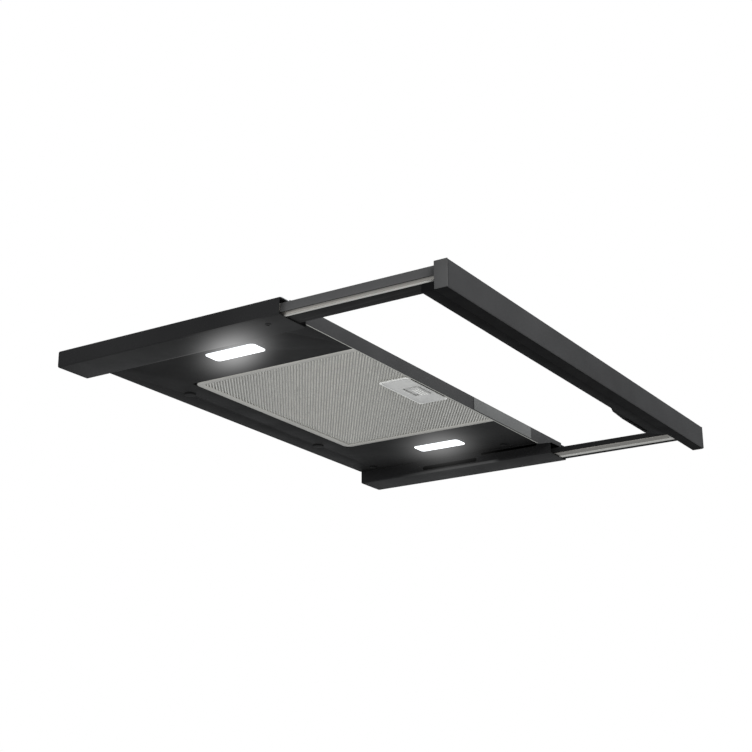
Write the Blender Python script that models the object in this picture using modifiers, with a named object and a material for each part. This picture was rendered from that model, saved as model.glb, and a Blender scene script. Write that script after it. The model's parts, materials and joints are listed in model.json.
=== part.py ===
"""Slim pull-out under cabinet range hood, modelled as separate sub-parts.

X runs across the hood, -Y towards the cook, +Z up. The origin is the centre of the flat top
of the front fascia, the face that is screwed up against the cabinet. The visor is modelled
pulled out. All lengths below are in millimetres; the meshes are made in metres.
"""
import math

import bmesh
import bpy
from mathutils import Matrix, Vector

MM = 0.001
GAP = 0.3  # clearance between pieces that touch

# Body under the cabinet
SHEET = 0.8
BODY_HALF = 298.0
BODY_FRONT = -4.7
BODY_REAR = 266.0
WING_WIDTH = 43.0
WING_TOP = -1.0
WING_BOTTOM = -18.2
WING_SLOTS = (((96.0, -14.1), (173.0, -9.1), 2.4), ((13.4, -7.0), (89.3, -4.0), 1.2))
PAN_BOTTOM = -2.7
PAN_TOP = -1.7
FASCIA_HALF = 283.0
FASCIA_FRONT = -6.2
FASCIA_BOTTOM = -15.1
FASCIA_SHEET = 1.0
FLANGE_REAR = 4.4
ARM_CUTOUT = (257.0, -5.4)
FASCIA_CORNER_X = 219.0
BLANK_PLATE_X = (62.0, 199.0)

# Pull-out visor
BAR_HALF = 299.0
BAR_DEPTH = 13.4
BAR_REAR = -166.0
BAR_TOP = -4.1
BAR_BOTTOM = -30.0
BAR_WALL = 1.2
END_CAP = 1.4
ARM_X = (266.4, 291.0)
ARM_Z = (-17.0, -4.4)
ARM_STEP = (283.8, -9.7)
ARM_REAR = 76.0
LEFT_RAIL = (3.0, 3.2)  # width and height
RIGHT_RAIL = (20.0, 1.0)
ARM_SCREW = (276.0, -148.4)
PANEL_X = (-298.0, 222.6)
PANEL_DEPTH = 12.7
PANEL_TOP = -22.0
PANEL_WALL = 1.0
CONTROL_X = (95.0, 209.6)
CONTROL_DEPTH = 6.5
CONTROL_SHOULDER = ((14.0, 4.1), (46.0, 6.5))  # run along the bar and depth behind the panel
CONTROL_Z = (-29.0, -20.5)
BUTTON_NAMES = ("off", "speed_low", "speed_mid", "speed_high", "light")
BUTTON_SIZE = (8.6, 3.2)
BUTTON_PITCH = 11.6
BUTTON_FIRST_X = 147.0

# Filter and lamps
FILTER_HALF = 147.4
FILTER_Y = (6.6, 216.4)
FILTER_Z = (-3.2, 4.8)
FILTER_RIM = 8.0
LATCH_HALF = 42.0
LATCH_Y = (14.9, 49.0)
SLIDER_HALF = 14.0
LAMP_X = (190.8, 214.3)
LAMP_Y = (87.8, 148.7)
LAMP_CORNER = 4.6
SCREW_PLACES = ((241.5, 50.6), (241.5, 238.6))
PLUG_PLACE = (122.0, 241.6)

# Air path above the pan
PLENUM_HALF = 250.0
PLENUM_Y = (5.0, 265.0)
PLENUM_TOP = 11.0
PLENUM_CHAMFER = 6.0
BLOWER_HALF = 164.0
BLOWER_Y = (91.0, 265.0)
BLOWER_TOP = 62.7
FAN_CENTRE = (-80.0, 178.0)
FAN_RADIUS = 70.0
FAN_Z = (20.0, 58.4)
BLADES = 36
COLLAR_CENTRE = (40.0, 196.0)
COLLAR_RADIUS = 60.0
COLLAR_WALL = 1.5
COLLAR_TOP = 92.0
FLAP_RADIUS = 57.5
FLAP_Z = 74.6
FLAP_ROOT = 3.0
SLIDE_MIDDLE_Y = (-3.0, 150.0)

# Colour, roughness and metallic value of each finish
FINISHES = {
    "black_paint": ((0.035, 0.035, 0.036), 0.42, 0.0),
    "bar_paint": ((0.055, 0.055, 0.056), 0.38, 0.0),
    "black_plastic": ((0.02, 0.02, 0.021), 0.5, 0.0),
    "galvanised": ((0.55, 0.56, 0.57), 0.42, 1.0),
    "slide_steel": ((0.62, 0.62, 0.61), 0.3, 1.0),
    "aluminium": ((0.6, 0.6, 0.58), 0.4, 1.0),
    "grey_plastic": ((0.48, 0.48, 0.47), 0.45, 0.0),
    "white_lens": ((0.95, 0.96, 0.98), 0.3, 0.0),
    "white_plastic": ((0.75, 0.75, 0.72), 0.5, 0.0),
    "motor_steel": ((0.3, 0.3, 0.31), 0.4, 1.0),
    "label_blue": ((0.1, 0.16, 0.3), 0.4, 0.0),
    "circuit_green": ((0.03, 0.12, 0.06), 0.4, 0.0),
    "blank_grey": ((0.16, 0.16, 0.155), 0.45, 0.0),
}

parts = None
cutters = None


def clear_scene():
    for obj in list(bpy.data.objects):
        bpy.data.objects.remove(obj, do_unlink=True)


def make_collection(name):
    collection = bpy.data.collections.new(name)
    bpy.context.scene.collection.children.link(collection)
    return collection


def finish_material(name, finish):
    colour, roughness, metallic = FINISHES[finish]
    material = bpy.data.materials.new(name)
    material.use_nodes = True
    shader = material.node_tree.nodes["Principled BSDF"]
    shader.inputs["Base Color"].default_value = (*colour, 1.0)
    shader.inputs["Roughness"].default_value = roughness
    shader.inputs["Metallic"].default_value = metallic
    return material


def add_box(bm, low, high):
    """Add one box between two corners and return its vertices."""
    centre = [(a + b) / 2 for a, b in zip(low, high)]
    size = [b - a for a, b in zip(low, high)]
    matrix = Matrix.Translation(centre) @ Matrix.Diagonal((*size, 1.0))
    return bmesh.ops.create_cube(bm, size=1.0, matrix=matrix)["verts"]


def add_rounded_box(bm, low, high, radius, axis="Z", segments=4):
    """Add a box whose four edges along one axis are rounded."""
    verts = set(add_box(bm, low, high))
    along = "XYZ".index(axis)
    chosen = [e for e in bm.edges if verts.issuperset(e.verts)
              and abs((e.verts[1].co - e.verts[0].co).normalized()[along]) > 0.9]
    bmesh.ops.bevel(bm, geom=chosen, offset=radius, segments=segments, profile=0.5, affect="EDGES")


def add_prism(bm, outline, low, high, axis):
    """Add an outline of (a, b) points drawn out from low to high along an axis; return its high face."""
    def point(a, b, s):
        return {"X": (s, a, b), "Y": (a, s, b), "Z": (a, b, s)}[axis]
    base = bm.faces.new([bm.verts.new(point(a, b, low)) for a, b in outline])
    top = bmesh.ops.extrude_face_region(bm, geom=[base])["geom"]
    moved = [v for v in top if isinstance(v, bmesh.types.BMVert)]
    bmesh.ops.translate(bm, verts=moved, vec=Vector(point(0, 0, high)) - Vector(point(0, 0, low)))
    bmesh.ops.recalc_face_normals(bm, faces=bm.faces)
    return next(f for f in top if isinstance(f, bmesh.types.BMFace))


def add_cylinder(bm, centre, radius, length, axis="Z", segments=32, top_radius=None):
    """Add one capped cylinder or cone whose middle is at centre."""
    turn = {"X": Matrix.Rotation(math.pi / 2, 4, "Y"), "Y": Matrix.Rotation(-math.pi / 2, 4, "X"), "Z": Matrix()}
    bmesh.ops.create_cone(
        bm, cap_ends=True, segments=segments, radius1=radius,
        radius2=radius if top_radius is None else top_radius, depth=length,
        matrix=Matrix.Translation(centre) @ turn[axis])


def place(name, bm, finish, pivot=(0.0, 0.0, 0.0), smooth=False):
    """Turn a millimetre bmesh into a named object whose origin is at pivot."""
    bmesh.ops.translate(bm, verts=bm.verts, vec=-Vector(pivot))
    bmesh.ops.scale(bm, verts=bm.verts, vec=(MM, MM, MM))
    mesh = bpy.data.meshes.new(name)
    bm.to_mesh(mesh)
    bm.free()
    obj = bpy.data.objects.new(name, mesh)
    obj.location = Vector(pivot) * MM
    if finish is None:
        obj.hide_render = True
        obj.display_type = "WIRE"
        cutters.objects.link(obj)
        return obj
    mesh.materials.append(finish_material(name, finish))
    if smooth:
        mesh.shade_smooth()
        mesh.set_sharp_from_angle(angle=math.radians(35))
    parts.objects.link(obj)
    return obj


def boolean(obj, bm, operation="DIFFERENCE"):
    """Cut the shapes in bm from obj, or join them to it."""
    cutter = place(f"cut_{obj.name}_{len(obj.modifiers)}", bm, None)
    modifier = obj.modifiers.new(operation.title(), "BOOLEAN")
    modifier.operation = operation
    modifier.solver = "EXACT"
    modifier.object = cutter


def cut_boxes(obj, boxes):
    bm = bmesh.new()
    for low, high in boxes:
        add_box(bm, low, high)
    boolean(obj, bm)


def cut_round(obj, places, radius, length, axis="Z", segments=32):
    bm = bmesh.new()
    for centre in places:
        add_cylinder(bm, centre, radius, length, axis, segments)
    boolean(obj, bm)


def block(name, low, high, finish, pivot=(0.0, 0.0, 0.0), bevel=0.0, segments=2):
    """A solid box, with its edges rounded by a Bevel modifier when bevel is above zero."""
    bm = bmesh.new()
    add_box(bm, low, high)
    obj = place(name, bm, finish, pivot)
    if bevel:
        modifier = obj.modifiers.new("Bevel", "BEVEL")
        modifier.width = bevel * MM
        modifier.segments = segments
    return obj


def solidify(obj, wall, offset=-1.0):
    modifier = obj.modifiers.new("Solidify", "SOLIDIFY")
    modifier.thickness = wall * MM
    modifier.offset = offset
    modifier.use_even_offset = True


def shell(name, low, high, open_sides, wall, finish, edges=None, radius=0.0):
    """A box of thin sheet that is open on some sides, each given as an outward unit vector.

    edges names what is rounded: an axis, for the edges along it, or front_top for one chamfer.
    """
    bm = bmesh.new()
    add_box(bm, low, high)
    bm.normal_update()
    gone = [f for f in bm.faces if any(f.normal.dot(Vector(side)) > 0.9 for side in open_sides)]
    bmesh.ops.delete(bm, geom=gone, context="FACES")
    if edges == "front_top":
        chosen = [e for e in bm.edges if all(v.co.y == low[1] and v.co.z == high[2] for v in e.verts)]
        bmesh.ops.bevel(bm, geom=chosen, offset=radius, segments=1, affect="EDGES")
    elif edges is not None:
        along = "XYZ".index(edges)
        chosen = [e for e in bm.edges
                  if abs((e.verts[1].co - e.verts[0].co).normalized()[along]) > 0.9 and not e.is_boundary]
        bmesh.ops.bevel(bm, geom=chosen, offset=radius, segments=3, profile=0.5, affect="EDGES")
    obj = place(name, bm, finish)
    solidify(obj, wall)
    return obj


def folded_strip(name, path, span, along, wall, finish):
    """Sheet folded along a path of (a, b) points and drawn out over span in the along axis."""
    bm = bmesh.new()
    for start, end in zip(path, path[1:]):
        corners = []
        for (a, b), s in ((start, span[0]), (end, span[0]), (end, span[1]), (start, span[1])):
            point = {"X": (s, a, b), "Y": (a, s, b), "Z": (a, b, s)}[along]
            corners.append(bm.verts.new(point))
        bm.faces.new(corners)
    bmesh.ops.remove_doubles(bm, verts=bm.verts, dist=0.001)
    obj = place(name, bm, finish)
    solidify(obj, wall, 0.0)
    return obj


def turned(name, profile, centre, finish, axis="Z", steps=48):
    """A ring turned from a closed (radius, height) outline that runs down its outer side."""
    bm = bmesh.new()
    verts = [bm.verts.new((r, 0.0, z)) for r, z in profile]
    for i, vert in enumerate(verts):
        bm.edges.new((vert, verts[(i + 1) % len(verts)]))
    obj = place(name, bm, finish)
    obj.location = Vector(centre) * MM
    if axis == "Y":
        obj.rotation_euler = (-math.pi / 2, 0.0, 0.0)
    screw = obj.modifiers.new("Screw", "SCREW")
    screw.steps = steps
    screw.render_steps = steps
    screw.use_merge_vertices = True
    screw.merge_threshold = 0.00005
    screw.use_smooth_shade = False
    return obj


def joint_empty(name, position, *children):
    """An empty on a joint's axis that carries the pieces moved by that joint."""
    empty = bpy.data.objects.new(name, None)
    empty.location = Vector(position) * MM
    parts.objects.link(empty)
    for child in children:
        child.parent = empty
        child.matrix_parent_inverse = Matrix.Translation(-empty.location)
    return empty


def sided(side, inner, outer):
    """The low and high x of a span that lies at inner..outer on one side of the hood."""
    return tuple(sorted((side * inner, side * outer)))


def build_wing(side, label):
    x0, x1 = sided(side, BODY_HALF - WING_WIDTH, BODY_HALF)
    wing = shell(f"wing_{label}", (x0, BODY_FRONT, WING_BOTTOM), (x1, BODY_REAR, WING_TOP),
                 [(0, -1, 0)], SHEET, "black_paint")
    slot_x = sided(side, BODY_HALF - WING_WIDTH - 2, BODY_HALF - WING_WIDTH + 2)
    for low, high, radius in WING_SLOTS:
        bm = bmesh.new()
        add_rounded_box(bm, (slot_x[0], *low), (slot_x[1], *high), radius, "X")
        boolean(wing, bm)


def build_pan():
    inner = BODY_HALF - WING_WIDTH - GAP
    pan = block("base_pan", (-inner, BODY_FRONT + GAP, PAN_BOTTOM), (inner, BODY_REAR, PAN_TOP), "black_paint")
    bm = bmesh.new()
    add_box(bm, (-FILTER_HALF - 0.6, FILTER_Y[0] - 0.6, -9), (FILTER_HALF + 0.6, FILTER_Y[1] + 0.6, 5))
    for side in (-1, 1):
        x0, x1 = sided(side, LAMP_X[0] - GAP, LAMP_X[1] + GAP)
        add_rounded_box(bm, (x0, LAMP_Y[0] - GAP, -9), (x1, LAMP_Y[1] + GAP, 5), LAMP_CORNER + GAP)
    boolean(pan, bm)
    holes = [(side * x, y, PAN_BOTTOM) for side in (-1, 1) for x, y in SCREW_PLACES]
    holes += [(side * PLUG_PLACE[0], PLUG_PLACE[1], PAN_BOTTOM) for side in (-1, 1)]
    cut_round(pan, holes, 2.4, 10, segments=20)


def build_headed_pin(name, x, y, head_radius, dome_radius, head_height):
    """A fixing under the pan: a domed head joined to a shank that goes up through the sheet."""
    bm = bmesh.new()
    head_top = PAN_BOTTOM - GAP
    add_cylinder(bm, (x, y, head_top - head_height / 2), dome_radius, head_height, segments=20,
                 top_radius=head_radius)
    pin = place(name, bm, "black_plastic")
    shank = bmesh.new()
    add_cylinder(shank, (x, y, PAN_BOTTOM + 0.2), 2.0, 2.2, segments=20)
    boolean(pin, shank, "UNION")


def build_pan_fixings():
    for side, label in ((-1, "left"), (1, "right")):
        for (x, y), end in zip(SCREW_PLACES, ("front", "rear")):
            build_headed_pin(f"pan_screw_{label}_{end}", side * x, y, 4.0, 2.4, 1.8)
        build_headed_pin(f"pan_plug_{label}", side * PLUG_PLACE[0], PLUG_PLACE[1], 6.5, 4.5, 1.2)


def build_fascia():
    rear = FASCIA_FRONT + FASCIA_SHEET
    fascia = block("front_fascia", (-FASCIA_HALF, FASCIA_FRONT, FASCIA_BOTTOM), (FASCIA_HALF, rear, 0), "bar_paint")
    flange_half = BODY_HALF - WING_WIDTH - 1
    bm = bmesh.new()
    add_box(bm, (-flange_half, rear - 0.5, -FASCIA_SHEET), (flange_half, FLANGE_REAR, 0))
    boolean(fascia, bm, "UNION")
    x, z = ARM_CUTOUT
    low, high = FASCIA_FRONT - 1, rear + 1
    below = FASCIA_BOTTOM - 1
    spans = [sided(side, x, FASCIA_HALF + 1) for side in (-1, 1)]
    cut_boxes(fascia, [((x0, low, below), (x1, high, z)) for x0, x1 in spans])
    bm = bmesh.new()
    add_prism(bm, [(FASCIA_CORNER_X, below), (x + 1, below), (x + 1, z + 0.2)], low, high, "Y")
    boolean(fascia, bm)
    front = FASCIA_FRONT - GAP
    block("fascia_blank_plate", (BLANK_PLATE_X[0], front - SHEET, FASCIA_BOTTOM + 0.5),
          (BLANK_PLATE_X[1], front, -0.8), "blank_grey")


def build_plenum():
    plenum = shell("plenum", (-PLENUM_HALF, PLENUM_Y[0], PAN_TOP + GAP), (PLENUM_HALF, PLENUM_Y[1], PLENUM_TOP),
                   [(0, 0, -1)], SHEET, "galvanised", "front_top", PLENUM_CHAMFER)
    cut_round(plenum, [(*FAN_CENTRE, PLENUM_TOP)], 52, 6, segments=48)
    housing = shell("blower_housing", (-BLOWER_HALF, BLOWER_Y[0], PLENUM_TOP + GAP),
                    (BLOWER_HALF, BLOWER_Y[1], BLOWER_TOP), [(0, 0, 1)], SHEET, "galvanised")
    cut_round(housing, [(*FAN_CENTRE, PLENUM_TOP)], 50, 6, segments=48)
    low = BLOWER_TOP + GAP
    cover = block("blower_cover", (-BLOWER_HALF, BLOWER_Y[0], low), (BLOWER_HALF, BLOWER_Y[1], low + 1), "galvanised")
    cut_round(cover, [(*COLLAR_CENTRE, low)], COLLAR_RADIUS - COLLAR_WALL, 8, segments=48)


def build_scroll():
    """The volute wall: it leaves the tongue, opens round the fan and runs into the front wall."""
    tongue, mouth = math.radians(40), math.radians(270)
    clearance, opening = 5.0, 10.0
    turns = 24
    path = [(-12.0, BLOWER_Y[1] - 2.5)]
    for i in range(turns + 1):
        angle = tongue + (mouth - tongue) * i / turns
        radius = FAN_RADIUS + clearance + opening * i / turns
        path.append((FAN_CENTRE[0] + radius * math.cos(angle), FAN_CENTRE[1] + radius * math.sin(angle)))
    path.append((0.0, path[-1][1]))
    folded_strip("scroll_wall", path, (PLENUM_TOP + GAP + SHEET + GAP, BLOWER_TOP), "Z", SHEET, "galvanised")


def build_fan():
    """The wheel hangs below the motor: a dished back disc, a ring and forward-curved blades."""
    x, y = FAN_CENTRE
    low, high = FAN_Z
    cup = 28.0
    disc = [(3.3, cup + 1), (37, cup + 1), (37, high), (FAN_RADIUS, high), (FAN_RADIUS, high - 1.2),
            (38.2, high - 1.2), (38.2, cup - 0.2), (3.3, cup - 0.2)]
    wheel = turned("impeller", disc, (x, y, 0), "black_plastic", steps=60)
    bm = bmesh.new()
    for i in range(BLADES):
        start = len(bm.verts)
        add_box(bm, (-7.5, -0.5, low + 1), (7.5, 0.5, high - 0.6))
        bm.verts.ensure_lookup_table()
        angle = 2 * math.pi * i / BLADES
        matrix = Matrix.Rotation(angle, 4, "Z") @ Matrix.Translation((61.5, 0, 0)) @ Matrix.Rotation(0.45, 4, "Z")
        bmesh.ops.transform(bm, matrix=Matrix.Translation((x, y, 0)) @ matrix, verts=bm.verts[start:])
    boolean(wheel, bm, "UNION")
    ring = [(59, low + 2), (FAN_RADIUS - 0.5, low + 2), (FAN_RADIUS - 0.5, low), (59, low)]
    rim = turned("impeller_rim", ring, (x, y, 0), "black_plastic", steps=60)
    parts.objects.unlink(rim)
    cutters.objects.link(rim)
    rim.hide_render = True
    rim.display_type = "WIRE"
    join = wheel.modifiers.new("Rim", "BOOLEAN")
    join.operation = "UNION"
    join.solver = "EXACT"
    join.object = rim

    bm = bmesh.new()
    add_cylinder(bm, (x, y, 28), 3.0, 18, segments=24)
    shaft = place("motor_shaft", bm, "slide_steel", (x, y, 28), smooth=True)
    bm = bmesh.new()
    add_cylinder(bm, (x, y, cup - 0.5 - 2.0), 6.4, 4, segments=6)
    nut = place("impeller_nut", bm, "slide_steel", (x, y, cup))
    cut_round(nut, [(x, y, cup)], 3.3, 20, segments=24)
    joint_empty("impeller_axis", (x, y, 28), wheel, shaft, nut)

    bm = bmesh.new()
    add_cylinder(bm, (x, y, (31 + BLOWER_TOP) / 2), 33, BLOWER_TOP - 31, segments=48)
    motor = place("fan_motor", bm, "motor_steel", (x, y, 31), smooth=True)
    bevel = motor.modifiers.new("Bevel", "BEVEL")
    bevel.width = 2 * MM
    bevel.segments = 2
    bevel.limit_method = "ANGLE"
    cut_round(motor, [(x, y, 31)], 3.4, 16, segments=24)


def build_exhaust():
    x, y = COLLAR_CENTRE
    inner = COLLAR_RADIUS - COLLAR_WALL
    base = BLOWER_TOP + GAP + 1 + GAP
    outline = [(inner, COLLAR_TOP), (COLLAR_RADIUS, COLLAR_TOP), (COLLAR_RADIUS, base + 1.5),
               (COLLAR_RADIUS + 6, base + 1.5), (COLLAR_RADIUS + 6, base), (inner, base)]
    turned("exhaust_collar", outline, (x, y, 0), "black_plastic", steps=64)
    bm = bmesh.new()
    add_cylinder(bm, (x, y, FLAP_Z), 1.4, 2 * (inner - GAP), "Y", 16)
    place("damper_pin", bm, "slide_steel", (x, y, FLAP_Z), smooth=True)
    for side, label in ((-1, "left"), (1, "right")):
        bm = bmesh.new()
        add_cylinder(bm, (x, y, FLAP_Z), FLAP_RADIUS, 1.2, segments=64)
        flap = place(f"damper_flap_{label}", bm, "black_plastic", (x, y, FLAP_Z))
        keep = sided(side, -80, FLAP_ROOT)
        cut_boxes(flap, [((x + keep[0], y - 80, FLAP_Z - 5), (x + keep[1], y + 80, FLAP_Z + 5))])


def build_electrics():
    floor = PLENUM_TOP + GAP
    x0, x1, y0, y1 = 170.0, 206.0, 136.0, 226.0
    top = floor + 22
    box = shell("terminal_box", (x0, y0, floor), (x1, y1, top), [(0, 0, 1)], 1.5, "white_plastic")
    gland_z = floor + 11
    middle = (x0 + x1) / 2
    cut_round(box, [(middle, y1, gland_z)], 4.0, 10, "Y", 24)
    block("terminal_cover", (x0, y0, top + GAP), (x1, y1, top + 2), "white_plastic", bevel=0.6)
    outline = [(4.0, 18.0), (6.5, 18.0), (6.5, 12.0), (8.0, 11.5), (8.0, 0.0), (4.0, 0.0)]
    turned("cable_gland", outline, (middle, y1 + GAP, gland_z), "black_plastic", "Y", 24)
    block("terminal_strip", (x0 + 8, y0 + 12, floor + 1.8), (x1 - 8, y1 - 12, floor + 12), "black_plastic", bevel=0.8)

    bm = bmesh.new()
    add_cylinder(bm, (-188, 191, floor + 12), 12, 50, "Y", 32)
    place("run_capacitor", bm, "label_blue", (-188, 191, floor + 12), smooth=True)
    block("lamp_driver", (-206, 96, floor), (-172, 156, floor + 20), "white_plastic", bevel=1.5)


def build_lamp(side, label):
    x0, x1 = sided(side, *LAMP_X)
    bm = bmesh.new()
    add_rounded_box(bm, (x0, LAMP_Y[0], PAN_BOTTOM - 0.5), (x1, LAMP_Y[1], PAN_TOP + 1.2), LAMP_CORNER)
    place(f"lamp_lens_{label}", bm, "white_lens")
    margin = 3.0
    shell(f"lamp_housing_{label}", (x0 - margin, LAMP_Y[0] - margin, PAN_TOP + GAP),
          (x1 + margin, LAMP_Y[1] + margin, PAN_TOP + 11), [(0, 0, -1)], 1.0, "white_plastic")


def build_filter():
    hinge = (0.0, FILTER_Y[1], PAN_BOTTOM)
    low, high = FILTER_Z
    frame = block("filter_frame", (-FILTER_HALF, FILTER_Y[0], low), (FILTER_HALF, FILTER_Y[1], high), "aluminium",
                  hinge)
    inner = FILTER_HALF - FILTER_RIM
    y0, y1 = FILTER_Y[0] + FILTER_RIM, FILTER_Y[1] - FILTER_RIM
    cut_boxes(frame, [((-inner, y0, low - 5), (inner, y1, high + 5))])
    tongue_slot = ((-6.0, FILTER_Y[0] - 1, 0.2), (6.0, y0 + 1, 2.8))
    cut_boxes(frame, [tongue_slot])
    mesh = block("filter_mesh", (-inner + GAP, y0 + GAP, low + 0.5), (inner - GAP, y1 - GAP, low + 1.7), "aluminium",
                 hinge)
    cut_boxes(mesh, [((-LATCH_HALF - GAP, y0 - 5, low - 5), (LATCH_HALF + GAP, LATCH_Y[1] + GAP, high))])

    latch_low = low - 1.0
    housing = shell("latch_housing", (-LATCH_HALF, LATCH_Y[0], latch_low), (LATCH_HALF, LATCH_Y[1], high - 1),
                    [(0, 0, 1)], 1.2, "grey_plastic", "Z", 7.0)
    window = ((-SLIDER_HALF - 0.5, LATCH_Y[0] + 4, low - 5), (SLIDER_HALF + 0.5, LATCH_Y[0] + 24, low + 1.5))
    tongue_way = ((-6.0, LATCH_Y[0] - 5, 0.2), (6.0, LATCH_Y[0] + 5, 2.8))
    cut_boxes(housing, [window, tongue_way])
    slider = block("latch_slider", (-SLIDER_HALF, LATCH_Y[0] + 4.5, latch_low - 1.2),
                   (SLIDER_HALF, LATCH_Y[0] + 17, 3.2), "grey_plastic", (0, LATCH_Y[0], low))
    bm = bmesh.new()
    add_box(bm, (-5.4, FILTER_Y[0] - 0.3, 0.6), (5.4, LATCH_Y[0] + 8, 2.4))
    boolean(slider, bm, "UNION")
    cover_low = latch_low + 1.2 + GAP
    bm = bmesh.new()
    add_box(bm, (-SLIDER_HALF - 4, LATCH_Y[0] + 1.6, cover_low), (SLIDER_HALF + 4, LATCH_Y[0] + 26.5, cover_low + 1.2))
    boolean(slider, bm, "UNION")
    catch = joint_empty("latch_slide", (0, LATCH_Y[0], low), slider)
    swing = joint_empty("filter_hinge", hinge, frame, mesh, housing)
    catch.parent = swing
    catch.matrix_parent_inverse = Matrix.Translation(-swing.location)


def build_slides(side, label):
    """The fixed and middle members of the telescopic slide in one wing."""
    outer = [(side * a, b) for a, b in ((293.8, -4.9), (296.4, -4.9), (296.4, -14.1), (293.8, -14.1))]
    folded_strip(f"slide_outer_{label}", outer, (-2.0, 261.0), "Y", SHEET, "slide_steel")
    x0, x1 = sided(side, 292.2, 295.6)
    y0, y1 = SLIDE_MIDDLE_Y
    middle = block(f"slide_middle_{label}", (x0, y0, -13.2), (x1, y1, -5.8), "slide_steel", bevel=0.8)
    joint_empty(f"slide_middle_axis_{label}", ((x0 + x1) / 2, y0, -9.5), middle)


def build_arm(side, label):
    """A hollow arm of stepped section; a bright steel rail lies in the lower edge on its -X side."""
    x0, x1 = sided(side, *ARM_X)
    front = BAR_REAR + GAP
    arm = block(f"arm_{label}", (x0, front, ARM_Z[0]), (x1, ARM_REAR, ARM_Z[1]), "bar_paint")
    width, height = LEFT_RAIL if side < 0 else RIGHT_RAIL
    rail_top = ARM_Z[0] + height
    step_x, step_z = ARM_STEP
    s0, s1 = sided(side, ARM_X[0] - 1, step_x)
    cut_boxes(arm, [((s0, front - 1, step_z), (s1, ARM_REAR + 1, ARM_Z[1] + 1))])
    cut_boxes(arm, [((x0 - 1, front - 1, ARM_Z[0] - 1), (x0 + width + GAP, ARM_REAR + 1, rail_top + GAP))])
    c0, c1 = sided(side, ARM_X[0] + 1.2, ARM_X[1] - 4.8)
    cut_boxes(arm, [((c0, front + 22, ARM_Z[0] + 2.5), (c1, ARM_REAR + 1, step_z - 1.2))])
    rail = block(f"slide_rail_{label}", (x0, front, ARM_Z[0]), (x0 + width, ARM_REAR, rail_top), "slide_steel")
    screw_x, screw_y = side * ARM_SCREW[0], ARM_SCREW[1]
    cut_round(arm, [(screw_x, screw_y, ARM_Z[0])], 2.6, 8, segments=20)
    if side > 0:
        cut_round(rail, [(screw_x, screw_y, ARM_Z[0])], 2.6, 8, segments=20)
    bm = bmesh.new()
    add_cylinder(bm, (screw_x, screw_y, ARM_Z[0] + 1.7), 2.3, 3.2, segments=20)
    screw = place(f"arm_screw_{label}", bm, "slide_steel", smooth=True)
    return [arm, rail, screw]


def tray(name, outline, low, high):
    """A thin-walled plastic tray with a drawn (x, y) outline, open at the top."""
    bm = bmesh.new()
    open_top = add_prism(bm, outline, low, high, "Z")
    bmesh.ops.delete(bm, geom=[open_top], context="FACES")
    obj = place(name, bm, "black_plastic")
    solidify(obj, PANEL_WALL)
    return obj


def build_bar():
    inner = BAR_HALF - END_CAP - GAP
    front = BAR_REAR - BAR_DEPTH
    bar = shell("front_bar", (-inner, front, BAR_BOTTOM), (inner, BAR_REAR, BAR_TOP),
                [(-1, 0, 0), (1, 0, 0)], BAR_WALL, "bar_paint", "X", 1.2)
    moving = [bar]
    for side, label in ((-1, "left"), (1, "right")):
        x0, x1 = sided(side, BAR_HALF - END_CAP, BAR_HALF)
        cap = block(f"bar_end_cap_{label}", (x0, front, BAR_BOTTOM), (x1, BAR_REAR, BAR_TOP), "black_plastic",
                    bevel=0.5)
        bm = bmesh.new()
        t0, t1 = sided(side, BAR_HALF - END_CAP - 8, BAR_HALF - END_CAP / 2)
        margin = BAR_WALL + 0.4
        add_box(bm, (t0, front + margin, BAR_BOTTOM + margin), (t1, BAR_REAR - margin, BAR_TOP - margin))
        boolean(cap, bm, "UNION")
        moving.append(cap)
    panel_front = BAR_REAR + GAP
    panel_rear = panel_front + PANEL_DEPTH
    outline = [(PANEL_X[0], panel_front), (PANEL_X[0], panel_rear), (PANEL_X[1] - PANEL_DEPTH, panel_rear),
               (PANEL_X[1], panel_front)]
    moving.append(tray("bar_rear_panel", outline, BAR_BOTTOM, PANEL_TOP))
    return moving


def build_controls():
    front = BAR_REAR + GAP + PANEL_DEPTH + GAP
    rear = front + CONTROL_DEPTH
    outline = [(CONTROL_X[1], front), (CONTROL_X[1] - CONTROL_DEPTH, rear)]
    outline += [(CONTROL_X[0] + run, front + depth) for run, depth in reversed(CONTROL_SHOULDER)]
    outline.append((CONTROL_X[0], front))
    box = tray("control_box", outline, *CONTROL_Z)
    centres = [(BUTTON_FIRST_X + BUTTON_PITCH * i, (front + rear) / 2) for i in range(len(BUTTON_NAMES))]
    half_x, half_y = BUTTON_SIZE[0] / 2, BUTTON_SIZE[1] / 2
    play = 0.4
    cut_boxes(box, [((x - half_x - play, y - half_y - play, CONTROL_Z[0] - 3),
                     (x + half_x + play, y + half_y + play, CONTROL_Z[0] + 3)) for x, y in centres])
    board = block("switch_board", (CONTROL_X[0] + 52, front + 1.5, -22.6), (CONTROL_X[1] - 8, rear - 1.5, -21.2),
                  "circuit_green")
    buttons = []
    for name, (x, y) in zip(BUTTON_NAMES, centres):
        low = CONTROL_Z[0] - 0.9
        key = block(f"button_{name}", (x - half_x, y - half_y, low), (x + half_x, y + half_y, low + 4.6),
                    "black_plastic", (x, y, low), bevel=0.5)
        buttons.append(joint_empty(f"button_axis_{name}", (x, y, low), key))
    return [box, board], buttons


def build_visor():
    moving = build_bar()
    for side, label in ((-1, "left"), (1, "right")):
        moving += build_arm(side, label)
    controls, buttons = build_controls()
    visor = joint_empty("visor_slide", (0, BAR_REAR, ARM_Z[1]), *moving, *controls)
    for button in buttons:
        button.parent = visor
        button.matrix_parent_inverse = Matrix.Translation(-visor.location)


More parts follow.
